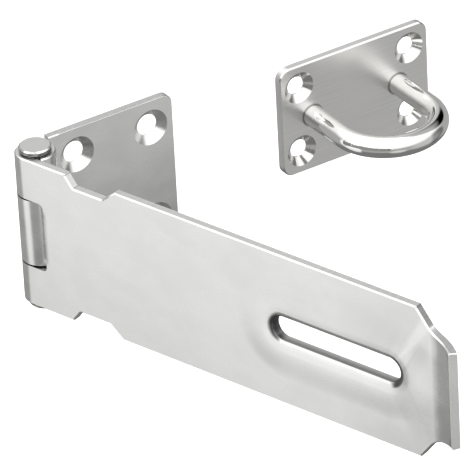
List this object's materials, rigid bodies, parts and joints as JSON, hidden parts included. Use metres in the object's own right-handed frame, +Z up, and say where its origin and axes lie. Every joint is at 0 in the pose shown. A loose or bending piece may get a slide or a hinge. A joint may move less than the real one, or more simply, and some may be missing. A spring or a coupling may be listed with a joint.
{
  "type": "door hasp latch",
  "caption": "Pressed steel door hasp: a slotted strap with a curled finger lip swings on a pin from a screwed leaf and closes over the rod loop of a staple plate.",
  "frame": {"origin": "middle of the fixed leaf's four screw holes, in the plane of the door", "axes": "+X along the leaf from the hinge to the staple, -Y out of the door, +Z up along the hinge pin"},
  "size_m": [0.1182, 0.1289, 0.043],
  "materials": {
    "satin_sheet": "satin",
    "plate_steel": "brushed",
    "pin_steel": "satin",
    "polished_rod": "polished"
  },
  "bodies": {
    "fixed_side": {"fixed_leaf": "satin_sheet", "staple_plate": "plate_steel", "staple_loop": "polished_rod"},
    "swinging_strap": {"strap": "satin_sheet", "hinge_pin": "pin_steel"}
  },
  "joints": [
    {"name": "strap_hinge", "type": "hinge", "parent": "fixed_side", "child": "swinging_strap", "pos_m": [-0.0233, -0.00495, 0], "axis": [0, 0, 1], "range_deg": [-106, 72]}
  ]
}
